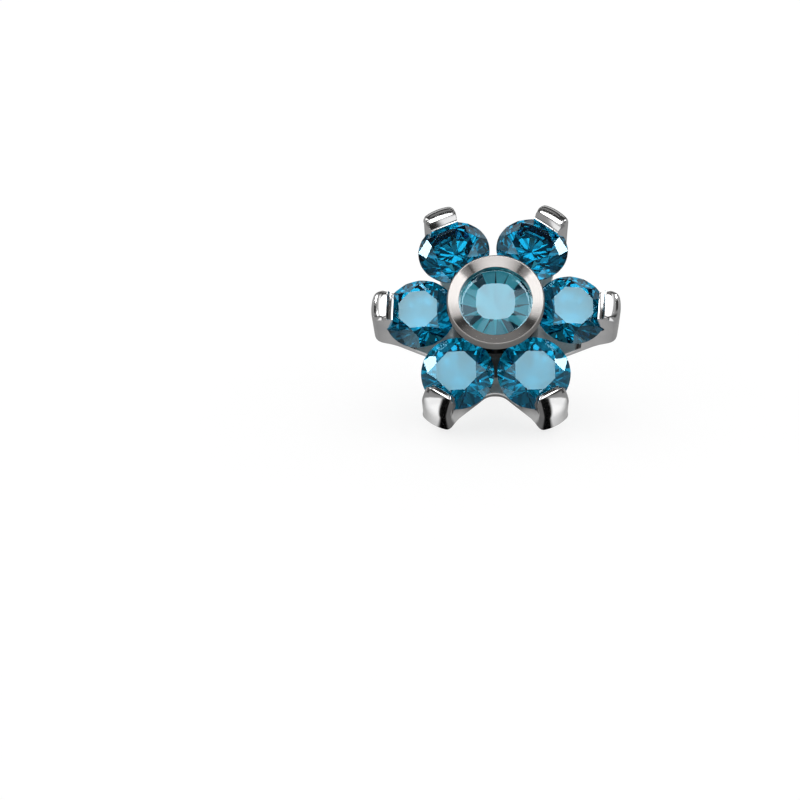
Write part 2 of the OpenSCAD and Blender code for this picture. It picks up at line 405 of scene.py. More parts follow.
# %% Shared effect: rings that a lathe leaves
def make_lathe_rings():
    tree, given, result = new_tree(
        "ShaderNodeTree", "Lathe rings", [("Place", "Vector"), ("Ring Pitch", "Float", 0.03)],
        [("Height", "Float"), ("Streak", "Float")],
    )
    radius, height = from_axis(tree, given["Place"])
    travel = plus(tree, radius, height)
    wave = maths(tree, "SINE", times(tree, maths(tree, "DIVIDE", travel, given["Ring Pitch"]), 2 * pi))
    along = add_node(tree, "ShaderNodeCombineXYZ", X=travel)
    streak = add_node(tree, "ShaderNodeTexNoise", Vector=along, Scale=14, Detail=5)
    feed(tree, result, Height=plus(tree, times(tree, wave, 0.5), streak), Streak=streak)
    return tree


lathe_rings = make_lathe_rings()

# %% Shared effect: a zone between two radii and under a height
def make_recess():
    """One between two radii and under a height, nothing elsewhere, with soft limits."""
    tree, given, result = new_tree(
        "ShaderNodeTree", "Recess",
        [("Place", "Vector"), ("Outer Radius", "Float", 9.0), ("Inner Radius", "Float", 0.0),
         ("Top", "Float", 0.0), ("Softness", "Float", 0.05)],
        [("Mask", "Float")],
    )
    radius, height = from_axis(tree, given["Place"])

    def below(value, limit):
        gap = maths(tree, "DIVIDE", minus(tree, value, limit), given["Softness"])
        return smooth_step(tree, gap, -1, 1, 1, 0)

    between = times(tree, below(radius, given["Outer Radius"]), below(given["Inner Radius"], radius))
    feed(tree, result, Mask=times(tree, between, below(height, given["Top"])))
    return tree


recess = make_recess()

# %% Shared effect: which side of the dish's wall a place is on
def make_dish_side():
    """One inside the dish and nothing under it. Its wall is flat at the hub and rises from there."""
    tree, given, result = new_tree(
        "ShaderNodeTree", "Dish side", [("Place", "Vector")], [("Mask", "Float")],
    )
    radius, height = from_axis(tree, given["Place"])
    beyond = maths(tree, "MAXIMUM", minus(tree, radius, hub_r), 0)
    wall = plus(tree, times(tree, beyond, tan(dish_slope)), hub_low + dish_t / 2)
    feed(tree, result, Mask=smooth_step(tree, minus(tree, height, wall), 0.05, 0.12, 0, 1))
    return tree


dish_side = make_dish_side()
effects = (flower_millimetres, polish_marks, lathe_rings, recess, dish_side)
print("shader groups:", ", ".join(group.name for group in effects))

# %% [markdown]
# Every material starts from one bare Principled shader. Its colours come from a mask between tones,
# because no real surface has one flat colour, and its fine relief is bump, far too low to be a shape.

# %% Helpers for materials
def new_material(name):
    material = bpy.data.materials.new(name)
    material.use_nodes = True
    return material, material.node_tree, material.node_tree.nodes["Principled BSDF"]


def tint(tree, factor, dark, light):
    """A colour between two, picked by a mask."""
    ramp = add_node(tree, "ShaderNodeValToRGB", Fac=factor)
    ramp.color_ramp.elements[0].color = (*dark, 1)
    ramp.color_ramp.elements[1].color = (*light, 1)
    return ramp


def colour_mix(tree, factor, under, over, blend="MIX"):
    """One colour laid over another by a mask, or multiplied with it."""
    mix = add_node(tree, "ShaderNodeMix", data_type="RGBA", blend_type=blend)
    feed(tree, mix, Factor=factor, A=under, B=over)
    return mix.outputs["Result"]


def bump_from(tree, height, depth):
    """Fine relief, its depth in millimetres."""
    return add_node(tree, "ShaderNodeBump", Height=height, Distance=depth * MM)


def facet_value(tree, name):
    """A number that the geometry trees stored on each face."""
    reader = add_node(tree, "ShaderNodeAttribute", attribute_type="GEOMETRY", attribute_name=name)
    return reader.outputs["Fac"]


# %% Finish: polished steel
def make_polished_steel():
    """A mirror with faint wear. Inside the dish, near the axis, the casting stayed dull."""
    material, tree, shader = new_material("steel_mirror")
    place = placed_group(tree, flower_millimetres)["Place"]
    marks = placed_group(tree, polish_marks, Place=place, Clean_Roughness=0.1, Cloud=0.03, Hairlines=0.02)
    near_axis = placed_group(tree, recess, Place=place, Outer_Radius=2.3, Top=-0.6, Softness=0.12)["Mask"]
    inside = placed_group(tree, dish_side, Place=place)["Mask"]
    dull = times(tree, near_axis, inside)
    feed(
        tree, shader,
        Base_Color=tint(tree, marks["Cloud Mask"], (0.70, 0.70, 0.705), (0.77, 0.765, 0.76)),
        Metallic=smooth_step(tree, dull, 0, 1, 1, 0.25),
        Roughness=smooth_step(tree, dull, 0, 1, marks["Roughness"], 0.55),
        Normal=bump_from(tree, marks["Height"], 0.00005),
    )
    return material


polished_steel = make_polished_steel()

# %% Finish: turned steel
def make_turned_steel():
    """Bright on its rim and bevel. Below the rim, its outer wall goes down between the stones; it is made
    matte and painted dark grey as painted shade. The stem and shoulder under the petals are painted near
    black as painted shade.
    """
    material, tree, shader = new_material("steel_turned")
    place = placed_group(tree, flower_millimetres)["Place"]
    marks = placed_group(tree, polish_marks, Place=place, Clean_Roughness=0.07, Cloud=0.03, Hairlines=0.02)
    rings = placed_group(tree, lathe_rings, Place=place, Ring_Pitch=0.022)
    # painted shade: the rim's outer wall is made matte and painted dark grey
    wall = placed_group(tree, recess, Place=place, Inner_Radius=1.285, Top=0.97, Softness=0.02)["Mask"]
    # painted shade: the whole cup below the rim's underside, under the petals, is painted near black
    stem = placed_group(tree, recess, Place=place, Top=0.56, Softness=0.04)["Mask"]
    colour = tint(tree, rings["Streak"], (0.60, 0.57, 0.55), (0.70, 0.675, 0.66))
    colour = colour_mix(tree, wall, colour, (0.17, 0.165, 0.16, 1))
    feed(
        tree, shader,
        Base_Color=colour_mix(tree, stem, colour, (0.045, 0.045, 0.045, 1)),
        Metallic=smooth_step(tree, wall, 0, 1, 1, 0),
        Roughness=smooth_step(tree, wall, 0, 1, marks["Roughness"], 0.5),
        Specular_IOR_Level=0,
        Normal=bump_from(tree, rings["Height"], 0.0002),
    )
    return material


turned_steel = make_turned_steel()

# %% [markdown]
# A cut stone is the one thing that a render can't fake with a colour: its look is the light that goes in
# through the crown, turns twice on the pavilion and comes out again. So the stones are real bodies of a
# dense glass. The petals' teal is an absorption inside them: a long way through the stone comes out navy, a
# short one bright cyan. The centre stone is paler glass with foil behind it, as cheap round stones have.
# The foil's wedges are painted in tones far apart, a painted sparkle, and the foil has a faint painted
# glow.

# %% Shared effect: haze on the tables
def make_table_haze():
    """A worn table spreads what it reflects into a pale patch. Some stones may keep a clear one."""
    tree, given, result = new_tree(
        "ShaderNodeTree", "Table haze",
        [("Clear Roughness", "Float", 0.0), ("Hazy Roughness", "Float", 0.3),
         ("First Clear Stone", "Float", 9.0), ("Last Clear Stone", "Float", 9.0)],
        [("Haze", "Float"), ("Roughness", "Float")],
    )
    stone = facet_value(tree, "copy_number")
    before = maths(tree, "LESS_THAN", stone, minus(tree, given["First Clear Stone"], 0.5))
    after = maths(tree, "GREATER_THAN", stone, plus(tree, given["Last Clear Stone"], 0.5))
    hazy = maths(tree, "MAXIMUM", before, after)
    haze = times(tree, facet_value(tree, "table_face"), hazy)
    spread = minus(tree, given["Hazy Roughness"], given["Clear Roughness"])
    feed(tree, result, Haze=haze, Roughness=plus(tree, given["Clear Roughness"], times(tree, haze, spread)))
    return tree


table_haze = make_table_haze()

# %% Finish: petal stones
STONE_IOR = 2.15


def make_petal_gem():
    """Deep teal glass. The two upper stones, numbers 1 and 2 from 0, have clear tables."""
    material, tree, shader = new_material("petal_gem")
    haze = placed_group(
        tree, table_haze, Clear_Roughness=0.0, Hazy_Roughness=0.28, First_Clear_Stone=1.0,
        Last_Clear_Stone=2.0,
    )
    colour = tint(tree, facet_value(tree, "facet_tone"), (0.45, 0.90, 0.98), (0.70, 0.98, 1.0))
    feed(
        tree, shader,
        Base_Color=colour_mix(tree, haze["Haze"], colour, (0.25, 0.50, 0.50, 1)),
        Specular_Tint=(0.42, 0.73, 0.87, 1),
        Roughness=haze["Roughness"], IOR=STONE_IOR, Transmission_Weight=1,
    )
    body = add_node(tree, "ShaderNodeVolumeAbsorption", Color=(0.12, 0.74, 0.84, 1), Density=2.2 / MM)
    feed(tree, tree.nodes["Material Output"], Volume=body)
    return material


petal_gem = make_petal_gem()

# %% Finish: the centre stone and the foil behind it
def make_centre_gem():
    material, tree, shader = new_material("centre_gem")
    place = placed_group(tree, flower_millimetres)["Place"]
    cloud = placed_group(tree, polish_marks, Place=place)["Cloud Mask"]
    haze = placed_group(tree, table_haze, Clear_Roughness=0.02, Hazy_Roughness=0.32)
    feed(
        tree, shader,
        Base_Color=tint(tree, cloud, (0.52, 0.87, 0.94), (0.58, 0.91, 0.97)),
        Specular_Tint=(0.48, 0.74, 0.88, 1),
        Roughness=haze["Roughness"], IOR=STONE_IOR, Transmission_Weight=1,
    )
    return material


def make_centre_foil():
    """The wedges' tones are a painted sparkle, about a third of them dark. A faint painted glow stands in
    for the light that foil gathers.
    """
    material, tree, shader = new_material("centre_foil")
    ramp = add_node(tree, "ShaderNodeValToRGB", Fac=facet_value(tree, "facet_tone"))
    ramp.color_ramp.elements[0].color = (0.0, 0.03, 0.05, 1)
    ramp.color_ramp.elements[1].color = (0.16, 0.74, 0.86, 1)
    for stop, shade in ((0.28, (0.0, 0.06, 0.1, 1)), (0.34, (0.1, 0.5, 0.62, 1))):
        ramp.color_ramp.elements.new(stop).color = shade
    # painted light: the foil glows faintly, and its wedge tones are a painted sparkle
    feed(
        tree, shader, Base_Color=ramp, Emission_Color=ramp, Emission_Strength=0.13, Roughness=1,
        Specular_IOR_Level=0,
    )
    return material


centre_gem = make_centre_gem()
centre_foil = make_centre_foil()
finishes = (polished_steel, turned_steel, petal_gem, centre_gem, centre_foil)
print("materials:", ", ".join(material.name for material in finishes))

# %% [markdown]
# The petal stones are round brilliants: a flat table, eight stars, eight kites and sixteen half facets
# above the girdle, sixteen halves and eight mains below. Each kite is flat, and that alone sets how high
# the star corners lie. The centre stone is cut without stars: plain wedges run from its girdle to its
# table, and again to its point.

# %% Sizes of a stone's rings
half_facet = pi / 8
girdle_h = 0.06
star_share = 0.52
lower_share = 0.22
GIRDLE_PLACES = (("", half_facet / 2), ("_Quarter", half_facet / 4), ("_Middle", 0))


def stone_sizes(radius, table_r, crown_h, pavilion_h, stars=True):
    """Sizes of every ring. Between its corners the round girdle dips along the flat half facets."""
    star = table_r + star_share * (radius - table_r)
    lower = lower_share * radius
    sizes = {
        "Table_Radius": table_r,
        "Table_Height": girdle_h / 2 + crown_h,
        "Star_Radius": star,
        "Star_Height": girdle_h / 2 + crown_h * (radius - star * cos(half_facet)) / (radius - table_r),
        "Lower_Radius": lower,
        "Lower_Height": -girdle_h / 2 - pavilion_h * (radius - lower * cos(half_facet)) / radius,
        "Point_Height": -girdle_h / 2 - pavilion_h,
    }
    for side, sign, inner in (("Top", 1, "Star"), ("Bottom", -1, "Lower")):
        rise = abs(sizes[inner + "_Height"]) - girdle_h / 2
        slope = rise / ((radius - sizes[inner + "_Radius"]) * cos(half_facet / 2))
        for place, from_middle in GIRDLE_PLACES:
            dip = slope * radius * (cos(from_middle) - cos(half_facet / 2))
            sizes["Girdle_" + side + place + "_Radius"] = radius
            sizes["Girdle_" + side + place + "_Height"] = sign * (girdle_h / 2 - dip)
    if not stars:
        del sizes["Star_Radius"], sizes["Star_Height"]
        for place, from_middle in GIRDLE_PLACES:
            sizes["Girdle_Top" + place + "_Height"] = girdle_h / 2
    return sizes


# %% The ring of petal stones
petal_table_r = 0.58
petal_crown_h = 0.32
petal_pavilion_h = 0.86
facet_turn = radians(24)

petal_sizes = stone_sizes(stone_r, petal_table_r, petal_crown_h, petal_pavilion_h)
petal_mesh = grow("petal_stones", bpy.data.meshes.new("petal_start"), [
    tree_step(brilliant_tree, **petal_sizes),
    join_flat_faces,
    tree_step(ring_tree, Count=petals, Ring_Radius=ring_r, Outward_Lean=petal_lean, Facet_Turn=facet_turn,
              Keep_Facing=1.0, Merge_Distance=0.0),
    tree_step(finish_tree, Tone_Seed=4, Material=petal_gem),
])
print("petal stones:", len(petal_mesh.polygons), "facets,", round(volume_of(petal_mesh), 2), "cubic mm")

# %% [markdown]
# Six perfect copies would look drawn, not set. A setter pushes each stone home by hand, so each one ends
# up a hair to a side and turned in its seat. The ring tree has numbered its copies, and each copy is
# nudged by that number.

# %% Each petal stone sits a little in its own way
SETTING = (
    # millimetres to the right and up, degrees of turn
    (0, 0.08, 0), (-0.03, 0.11, -24), (-0.13, 0.03, -24), (0, -0.04, 0), (0.01, 0, 0), (0.01, 0.02, 0),
)
nudges = []
for number, (to_right, upwards, turn) in enumerate(SETTING):
    around = Matrix.Rotation(2 * sector * number, 4, "Z")
    seat = around @ Matrix.Translation((ring_r, 0, 0)) @ Matrix.Rotation(petal_lean, 4, "Y")
    own_turn = seat @ Matrix.Rotation(radians(turn), 4, "Z") @ seat.inverted()
    nudges.append(Matrix.Translation((to_right, upwards, 0)) @ own_turn)
for corner, number in zip(petal_mesh.vertices, petal_mesh.attributes["copy_number"].data):
    corner.co = nudges[round(number.value)] @ corner.co
petal_mesh.transform(flower_place)
petal_stones = new_object("petal_stones", petal_mesh)
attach(petal_stones, "root")
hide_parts(*["petal_stone_" + str(number + 1) for number in range(petals)])

# %% [markdown]
# The centre stone's table is a square with round corners, which no ring of the tree can make. So the round
# table's corners are moved out to the curve that lies between a circle and a square. The facets below the
# girdle are the foil: neighbouring wedges take tones that are far apart, a painted sparkle.

# %% The centre stone
centre_r = 1.0
centre_rise = 0.62
centre_table_r = 0.53
centre_crown_h = 0.14
centre_pavilion_h = 0.84
SQUARENESS = 3.2
FOIL_SLOPE = -0.3
WEDGES = 32
TONE_STEP = 0.382

centre_sizes = stone_sizes(centre_r, centre_table_r, centre_crown_h, centre_pavilion_h, stars=False)
centre_mesh = grow("centre_brilliant", bpy.data.meshes.new("centre_start"), [
    tree_step(starless_tree, **centre_sizes),
    join_flat_faces,
    tree_step(finish_tree, Tone_Seed=2, Material=centre_gem),
])
for corner in centre_mesh.vertices:
    if corner.co.z > (girdle_h + centre_crown_h) / 2:
        power = abs(corner.co.x) ** SQUARENESS + abs(corner.co.y) ** SQUARENESS
        stretch = centre_table_r / power ** (1 / SQUARENESS)
        corner.co.x *= stretch
        corner.co.y *= stretch
centre_mesh.materials.append(centre_foil)
tones = centre_mesh.attributes["facet_tone"].data
for facet in centre_mesh.polygons:
    if facet.normal.z < FOIL_SLOPE:
        facet.material_index = 1
        wedge = round(atan2(facet.center.y, facet.center.x) * WEDGES / (2 * pi))
        # painted sparkle: each foil wedge takes a tone far from its neighbours'
        tones[facet.index].value = wedge * TONE_STEP % 1
centre_mesh.transform(flower_place @ Matrix.Translation((0, 0, centre_rise)))
centre_stone = new_object("centre_brilliant", centre_mesh)
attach(centre_stone, "root")
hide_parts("centre_stone")
print("centre stone:", len(centre_mesh.polygons), "facets")

# %% [markdown]
# The cup and the pin come off a lathe. A turned edge is never sharp, and a mirror finish shows it, so
# every corner of the half section becomes a small arc. The same arcs also give the exact surface normals,
# which is why these two are spun in code and not by a Screw modifier: flat faces stay flat in reflections
# right up to their rounded edges.

# %% A lathe for half sections
ARC_STEPS = 6


def softened(corners):
    """Corners are (radius, height, rounding). Returns rows of (radius, height, normal out, normal up)."""
    rows = []
    last = len(corners) - 1
    for number, (radius, height, rounding) in enumerate(corners):
        here = Vector((radius, height))
        if number > 0:
            before = (here - Vector(corners[number - 1][:2])).normalized()
        if number < last:
            after = (Vector(corners[number + 1][:2]) - here).normalized()
        if number in (0, last):
            along = after if number == 0 else before
            rows.append((radius, height, along.y, -along.x))
            continue
        turn = atan2(before.x * after.y - before.y * after.x, before.dot(after))
        bulge = 1 if turn > 0 else -1
        start = here - before * rounding * tan(abs(turn) / 2)
        normal = Vector((before.y, -before.x))
        centre = start - bulge * rounding * normal
        for step in range(ARC_STEPS + 1):
            out = Matrix.Rotation(turn * step / ARC_STEPS, 2) @ normal
            rows.append((*(centre + bulge * rounding * out), *out))
    return rows


def spun(name, corners, segments, material):
    """Spins a half section that starts and ends on the axis, and gives it its exact normals."""
    rows = softened(corners)
    inner = rows[1:-1]
    points = []
    normals = []
    for radius, height, out, up in inner:
        for segment in range(segments):
            angle = 2 * pi * segment / segments
            points.append((radius * cos(angle), radius * sin(angle), height))
            normals.append((out * cos(angle), out * sin(angle), up))
    faces = []
    for low in range(0, segments * (len(inner) - 1), segments):
        for segment in range(segments):
            beside = (segment + 1) % segments
            faces.append((low + segment, low + beside, low + segments + beside, low + segments + segment))
    for row, rim in ((rows[0], 0), (rows[-1], segments * (len(inner) - 1))):
        pole = len(points)
        points.append((0, 0, row[1]))
        normals.append((0, 0, row[3]))
        for segment in range(segments):
            edge = (rim + segment, rim + (segment + 1) % segments)
            faces.append((pole, *(reversed(edge) if rim == 0 else edge)))
    mesh = mesh_from(name, points, faces)
    print(name + ":", len(faces), "faces,", round(volume_of(mesh), 3), "cubic mm")
    mesh.transform(flower_place)
    mesh.polygons.foreach_set("use_smooth", [True] * len(mesh.polygons))
    turned_normals = [flower_turn @ Vector(normal).normalized() for normal in normals]
    mesh.normals_split_custom_set_from_vertices(turned_normals)
    mesh.materials.append(material)
    return new_object(name, mesh)


# %% [markdown]
# The cup's stem stands on the hub and its shoulder runs under the petal stones, right where their
# pavilions pass. So the shoulder's heights are read off the stones' room, which is the stone turned about
# its axis with its clearance.

# %% The room of a petal stone
def beside_stone(out, up):
    """A place beside a petal stone, from the distance out along its girdle and the height above it."""
    radius = ring_r + out * cos(petal_lean) + up * sin(petal_lean)
    return radius, up * cos(petal_lean) - out * sin(petal_lean)


def height_between(start, end, radius):
    """Height at this radius on the line through two places, each a radius and a height."""
    return start[1] + (end[1] - start[1]) * (radius - start[0]) / (end[0] - start[0])


room_edge_h = girdle_h / 2 + stone_fit
room_r = stone_r + stone_fit
room_low = (petal_sizes["Lower_Radius"] + stone_fit, petal_sizes["Lower_Height"] - stone_fit)
room_star = (petal_sizes["Star_Radius"] + stone_fit, petal_sizes["Star_Height"] + stone_fit)
room_table = (petal_table_r, petal_sizes["Table_Height"] + stone_fit)
shoulder_high = beside_stone(-room_r, -room_edge_h)
shoulder_low = beside_stone(-room_low[0], room_low[1])
print("shoulder rises from", round(shoulder_low[1], 3), "to", round(shoulder_high[1], 3))

# %% The centre cup
stem_gap = 0.05
stem_r = ring_r - stone_r * cos(petal_lean) - stem_gap
shoulder_r = 1.2
rim_r = 1.325
rim_top = 0.94
rim_low = 0.58
bevel_r = 1.005
bevel_low = 0.83
lip_over = 0.05
lip_t = 0.03
mouth_r = centre_r - lip_over
lip_under = centre_rise + room_edge_h + centre_crown_h * lip_over / (centre_r - centre_table_r)
pocket_r = centre_r + stone_fit
pocket_low = centre_rise - room_edge_h
pocket_point = pocket_low - centre_pavilion_h * pocket_r / centre_r

cup = spun("turned_cup", [
    (0, hub_top, 0),
    (shoulder_r, hub_top, 0.02),
    (shoulder_r, height_between(shoulder_high, shoulder_low, shoulder_r), 0.02),
    (stem_r, height_between(shoulder_high, shoulder_low, stem_r), 0.02),
    (stem_r, rim_low - (rim_r - stem_r), 0.02),
    (rim_r, rim_low, 0.03),
    (rim_r, rim_top, 0.035),
    (bevel_r, bevel_low, 0.018),
    (mouth_r, lip_under + lip_t, 0.008),
    (mouth_r, lip_under, 0.006),
    (pocket_r, lip_under, 0.006),
    (pocket_r, pocket_low, 0.01),
    (0, pocket_point, 0),
], segments=160, material=turned_steel)
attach(cup, "root")
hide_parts("centre_cup")

# %% The pin
pin_r = 0.6
pin_tip = hub_low - pin_length
pin = spun("plain_pin", [
    (0, pin_tip, 0),
    (pin_r - pin_chamfer, pin_tip, 0.03),
    (pin_r, pin_tip + pin_chamfer, 0.05),
    (pin_r, hub_low, 0.004),
    (0, hub_low, 0),
], segments=96, material=polished_steel)
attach(pin, "root")
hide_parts("post")

# %% [markdown]
# The claw basket is cast in one piece and then polished, so it has no sharp corner and no seam. One sixth
# of it is enough: rows of points run from the hub out along the dish, round the bend and up the claw,
# once outside and once inside, and eleven columns cross them. Most rows lie on turned surfaces about the
# flower's axis or the stone's, as on the real piece. The ring tree makes six of it and joins the hubs,
# and a Bevel modifier then rounds the marked edges.

# %% Sizes of the claws
claw_w = 0.9
tab_top = 0.6
tab_over = 0.265
tab_end_h = 0.2
tab_end_lean = radians(42)
seat_reach = 0.62
valley_r = 1.74
valley_round = 0.45
arm_straight_r = 2.75
seat_middle_r = 2.6
seat_end_r = 2.92
foot_r = 2.98

tab_in_r = girdle_edge_r - tab_over
tab_edge_r = tab_in_r + tab_end_h * tan(tab_end_lean)
seat_in_r = girdle_edge_r - seat_reach
hub_top_r = hub_r - dish_t * tan(dish_slope / 2)
arm_corner = Vector((arm_straight_r, claw_w / 2))
print("seats from", round(seat_in_r, 3), "tabs from", round(tab_in_r, 3), "to", round(claw_r, 3))

# %% Plan of an arm: how far its sides reach round the axis
def corner_angle(side, other_side, opposite):
    """The angle between two sides of a triangle, from the law of cosines."""
    return acos(min(1, (side ** 2 + other_side ** 2 - opposite ** 2) / (2 * side * other_side)))


valley_middle_r = valley_r + valley_round
valley_middle = Vector((valley_middle_r * cos(sector), valley_middle_r * sin(sector)))
to_valley = valley_middle - arm_corner
side_angle = atan2(to_valley.y, to_valley.x) + asin(valley_round / to_valley.length)
side_length = sqrt(to_valley.length ** 2 - valley_round ** 2)
side_way = Vector((cos(side_angle), sin(side_angle)))
arm_corner_r = arm_corner.length
tangent_r = (arm_corner + side_way * side_length).length


def half_reach(radius):
    """Half the angle that an arm covers at this distance from the axis."""
    if radius <= valley_r:
        return sector
    if radius < tangent_r:
        return sector - corner_angle(radius, valley_middle_r, valley_round)
    if radius < arm_corner_r:
        # where the circle of this radius crosses the arm's straight side, from its outer corner
        nearest = -arm_corner.dot(side_way)
        root = sqrt(nearest ** 2 - arm_corner.length_squared + radius ** 2)
        way = nearest - root
        if way < 0 or way > side_length:
            way = nearest + root
        spot = arm_corner + side_way * way
        return atan2(spot.y, spot.x)
    return asin(arm_corner.y / radius)


# %% Columns across an arm
EVEN = [number / 5 - 1 for number in range(11)]
CLAW = [-1, -0.56, -0.42, -0.28, -0.14, 0, 0.14, 0.28, 0.42, 0.56, 1]
columns = len(CLAW)


def column_angles(radius):
    """Even columns on the hub. On the claw the outer gaps are wide, to leave room for rounded edges."""
    blend = min(1, max(0, (radius - hub_r) / (valley_r - hub_r)))
    return [half_reach(radius) * (even + (claw - even) * blend) for even, claw in zip(EVEN, CLAW)]


# %% The stone's room over a place in an arm's plan
TRIES = 12


def height_over(x, y, profile):
    """Height of a surface that is turned about the stone's leaning axis, found closer with each try."""
    height = 0
    for _ in range(TRIES):
        away = x - ring_r
        out = away * cos(petal_lean) - height * sin(petal_lean)
        height = (profile(hypot(out, y)) - away * sin(petal_lean)) / cos(petal_lean)
    return height


def room_under(reach):
    return height_between((room_r, -room_edge_h), room_low, min(room_r, reach))


def room_above(reach):
    if reach > room_star[0]:
        return height_between((room_r, room_edge_h), room_star, reach)
    return height_between(room_star, room_table, reach)


# %% Rows of an arm
def flat_row(radius, height):
    """A row round the flower's axis, all at one height."""
    return [(radius * cos(angle), radius * sin(angle), height) for angle in column_angles(radius)]


def seat_row(radius):
    """A row that follows the stone's pavilion."""
    return [(x, y, height_over(x, y, room_under)) for x, y, _ in flat_row(radius, 0)]


def straight_row(x, height, fall=0.0, width=1.0):
    """A row straight across the claw. The fall lowers it towards both sides."""
    return [(x, width * claw_w / 2 * share, height - fall * share ** 2) for share in CLAW]


def crown_row(x):
    """A straight row that follows the stone's crown."""
    return [(x, y, height_over(x, y, room_above)) for _, y, _ in straight_row(x, 0)]


def notch_row(up):
    """A row along the round wall beside the girdle."""
    row = []
    for angle in column_angles(claw_r):
        y = claw_r * sin(angle)
        x, height = beside_stone(sqrt(room_r ** 2 - y ** 2), up)
        row.append((x, y, height))
    return row


def claw_row(radius, height, inward=0.0, downward=0.0):
    """A row of the claw's outside, domed: its sides lie further in and lower than its middle."""
    row = []
    for share, (x, y, _) in zip(CLAW, flat_row(radius, 0)):
        row.append((x - inward * share ** 2, y, height - downward * share ** 2))
    return row


def dish_low(radius):
    """Height of the dish's lower surface."""
    return hub_low + max(0, radius - hub_r) * tan(dish_slope)


def dish_high(radius):
    """Height of the dish's upper surface."""
    return hub_top + max(0, radius - hub_top_r) * tan(dish_slope)


# %% Where the dish's rows lie
VALLEY_STEPS = 6
ROWS_BETWEEN = (0.6, 1.2, 1.56, 2.1, 2.28)
valley_turn = corner_angle(valley_middle_r, valley_round, tangent_r)
valley_rows = []
for step in range(1, VALLEY_STEPS + 1):
    bearing = pi - valley_turn * step / VALLEY_STEPS
    valley_rows.append(hypot(valley_middle_r + valley_round * cos(bearing), valley_round * sin(bearing)))
dish_rows = sorted([hub_top_r, hub_r, valley_r, *valley_rows, seat_in_r, *ROWS_BETWEEN])
first_side_row = dish_rows.index(valley_r)
first_claw_row = len(dish_rows) - 1
kink_row = first_claw_row + 1
print("dish rows at", [round(radius, 3) for radius in dish_rows])

# %% [markdown]
# The tabs come in two kinds. Four are flat, with a crisp end that leans back over the stone. The two
# lower ones are domed like a fingertip and reach further in. The same functions make both, with as many
# points each, so that a point of one has its twin in the other, and a claw can be anything between the
# two.

# %% Outside rows of an arm, with a flat or a domed tab
BEND_STEPS = 8
TAB_ROWS = 10


def outside_rows(tip_r, tip_length, tip_widths, tip_droop, tab_round, wall_fall, tab_fall):
    """The tab's rounding decides how much of its flat top is left. The falls dome wall and tab across."""
    rows = [flat_row(radius, dish_low(radius)) for radius in dish_rows]
    rows += [claw_row(radius, dish_low(radius)) for radius in (arm_corner_r, foot_r, slope_end_r)]
    for step in range(1, BEND_STEPS + 1):
        part = step / BEND_STEPS
        angle = (dish_slope - pi / 2) * (1 - part)
        radius = bend_centre[0] + bend_r * cos(angle)
        rows.append(claw_row(radius, bend_centre[1] + bend_r * sin(angle), wall_fall * part ** 2))
    round_low = tab_top - tab_round
    for part in (0.25, 0.5, 0.75):
        rows.append(claw_row(claw_r, bend_centre[1] + (round_low - bend_centre[1]) * part, wall_fall))
    round_middle = claw_r - tab_round
    round_end = acos(max(0, (tip_r + tip_length - round_middle) / tab_round))
    arc_rows = TAB_ROWS - len(tip_widths)
    for step in range(arc_rows):
        part = step / (arc_rows - 1)
        radius = round_middle + tab_round * cos(round_end * part)
        height = round_low + tab_round * sin(round_end * part)
        rows.append(claw_row(radius, height, wall_fall * (1 - part), tab_fall * min(1, 2 * part)))
    for step, width in enumerate(tip_widths):
        part = (step + 1) / len(tip_widths)
        x = tip_r + tip_length * (1 - part)
        rows.append(straight_row(x, height - tip_droop * part ** 2, tab_fall, width))
    return rows


flat_outside = outside_rows(
    tip_r=tab_edge_r, tip_length=0.0947, tip_widths=(0.95,), tip_droop=0,
    tab_round=0.34, wall_fall=0.05, tab_fall=0.02,
)
domed_outside = outside_rows(
    tip_r=tab_in_r + 0.03, tip_length=0.17, tip_widths=(0.99, 0.955, 0.9, 0.82), tip_droop=0.04,
    tab_round=0.72, wall_fall=0.12, tab_fall=0.07,
)

# %% Inside rows of an arm
CROWN_ROWS = (2.99, 2.87)
# places of the last three rows, as distance from the axis and height
FLAT_LIP = ((tab_in_r, 0.36), (tab_in_r, 0.45), (tab_in_r + 0.07, 0.46))
DOMED_LIP = ((tab_in_r + 0.03, 0.25), (tab_in_r + 0.01, 0.27), (tab_in_r, 0.30))


def inside_rows(lip, tab_fall, width):
    """Up the dish, along the seat, past the girdle's notch and under the tab to its lip."""
    rows = [flat_row(radius, dish_high(radius)) for radius in dish_rows]
    rows += [seat_row(radius) for radius in (seat_in_r, seat_middle_r, arm_corner_r, seat_end_r)]
    rows += [notch_row(up) for up in (-room_edge_h, room_edge_h)]
    rows += [crown_row(x) for x in CROWN_ROWS]
    rows += [straight_row(x, height, tab_fall, width) for x, height in lip]
    return rows


flat_inside = inside_rows(FLAT_LIP, 0.02, 0.9)
domed_inside = inside_rows(DOMED_LIP, 0.05, 0.8)
print("rows of an arm:", len(flat_outside), "outside,", len(flat_inside), "inside, of", columns, "points")

# %% [markdown]
# A casting's edges aren't all worn alike: the claws' long edges are soft, the lip over the stone is
# nearly sharp. So each edge of the arm carries its own bevel weight, and one Bevel modifier reads them
# all.

# %% One arm as a mesh, with the roundness of each edge marked on it
ROUND_MOST = 0.12
ROUND_CLAW = 0.12
ROUND_DISH = 0.06
ROUND_END = 0.025
ROUND_FINE = 0.012


